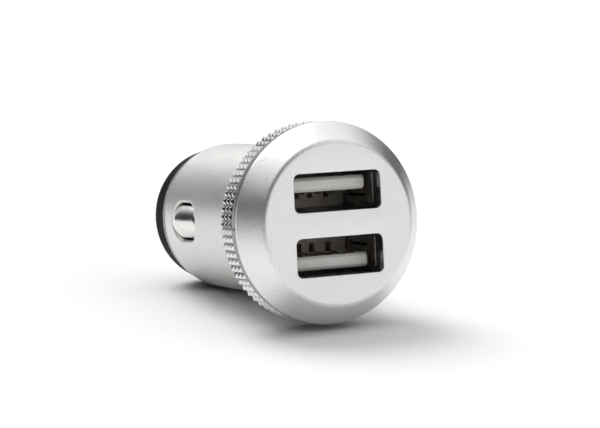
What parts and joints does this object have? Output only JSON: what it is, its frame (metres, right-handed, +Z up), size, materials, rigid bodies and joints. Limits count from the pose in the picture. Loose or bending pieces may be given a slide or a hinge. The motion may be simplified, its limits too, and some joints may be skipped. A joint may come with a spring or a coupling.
{
  "type": "usb car charger",
  "caption": "Stubby round car-socket charger: bevelled satin metal head with stacked USB-A ports, knurled ring, barrel with sprung side contacts and a rounded black nose with a sprung tip.",
  "frame": {"origin": "centre of the flat USB face", "axes": "+Y along the barrel from the USB face to the tip, +Z up through the two stacked ports, +X to the right as seen by someone looking at the USB face"},
  "size_m": [0.027, 0.045, 0.027],
  "materials": {
    "satin_aluminium": "bead-blasted, satin",
    "sleeve_aluminium": "fine turned, satin",
    "bright_knurl": "cut knurl, bright",
    "grey_spacer": "grey anodised, smooth",
    "gloss_black": "moulded, glossy",
    "matt_black": "moulded, matt",
    "port_tin": "folded plated sheet",
    "cream_plastic": "moulded, satin",
    "gold_contact": "gold flash",
    "polished_nickel": "polished nickel plate",
    "spring_steel": "bright drawn wire",
    "brass_terminal": "stamped",
    "board_green": "solder mask",
    "ferrite": "sintered ferrite",
    "capacitor_can": "drawn can",
    "chip_epoxy": "moulded epoxy",
    "ceramic_tan": "fired ceramic"
  },
  "bodies": {
    "housing": {"front_cap": "satin_aluminium", "barrel_sleeve": "sleeve_aluminium", "knurled_ring": "bright_knurl", "spacer_ring": "grey_spacer", "port_frame": "gloss_black", "nose_cap": "gloss_black", "carrier_upper": "matt_black", "carrier_lower": "matt_black", "usb_shell_upper": "port_tin", "usb_shell_lower": "port_tin", "usb_insulator_upper": "cream_plastic", "usb_insulator_lower": "cream_plastic", "tip_spring": "spring_steel", "tip_terminal": "brass_terminal", "circuit_board": "board_green", "inductor": "ferrite", "input_capacitor": "capacitor_can", "output_capacitor": "capacitor_can", "converter_chip": "chip_epoxy", "charge_controller_chip": "chip_epoxy", "rectifier_diode": "chip_epoxy", "resistor_1": "chip_epoxy", "resistor_2": "chip_epoxy", "resistor_3": "chip_epoxy", "resistor_4": "chip_epoxy", "fuse": "ceramic_tan", "ceramic_capacitor_1": "ceramic_tan", "ceramic_capacitor_2": "ceramic_tan"},
    "left_contact": {"ground_contact_left": "polished_nickel"},
    "right_contact": {"ground_contact_right": "polished_nickel"},
    "tip": {"tip_pin": "polished_nickel"},
    "upper_port_contacts": {"usb_contact_upper_1": "gold_contact", "usb_contact_upper_2": "gold_contact", "usb_contact_upper_3": "gold_contact", "usb_contact_upper_4": "gold_contact"},
    "lower_port_contacts": {"usb_contact_lower_1": "gold_contact", "usb_contact_lower_2": "gold_contact", "usb_contact_lower_3": "gold_contact", "usb_contact_lower_4": "gold_contact"}
  },
  "joints": [
    {"name": "left_contact_flex", "type": "hinge", "parent": "housing", "child": "left_contact", "pos_m": [-0.0093, 0.0226, 0], "axis": [0, 0, -1], "range_deg": [0, 12], "stiffness_Nm_per_rad": 0.13, "springref_deg": -2.86},
    {"name": "right_contact_flex", "type": "hinge", "parent": "housing", "child": "right_contact", "pos_m": [0.0093, 0.0226, 0], "axis": [0, 0, 1], "range_deg": [0, 12], "stiffness_Nm_per_rad": 0.13, "springref_deg": -2.86},
    {"name": "tip_press", "type": "slide", "parent": "housing", "child": "tip", "axis": [0, -1, 0], "range_m": [0, 0.0025], "stiffness_N_per_m": 1200, "springref_m": -0.0012, "deforming": ["tip_spring"]},
    {"name": "upper_port_flex", "type": "hinge", "parent": "housing", "child": "upper_port_contacts", "pos_m": [0, 0.0102, 0.00462], "axis": [-1, 0, 0], "range_deg": [0, 3], "stiffness_Nm_per_rad": 0.4, "springref_deg": -1.72},
    {"name": "lower_port_flex", "type": "hinge", "parent": "housing", "child": "lower_port_contacts", "pos_m": [0, 0.0102, -0.00462], "axis": [1, 0, 0], "range_deg": [0, 3], "stiffness_Nm_per_rad": 0.4, "springref_deg": -1.72}
  ]
}
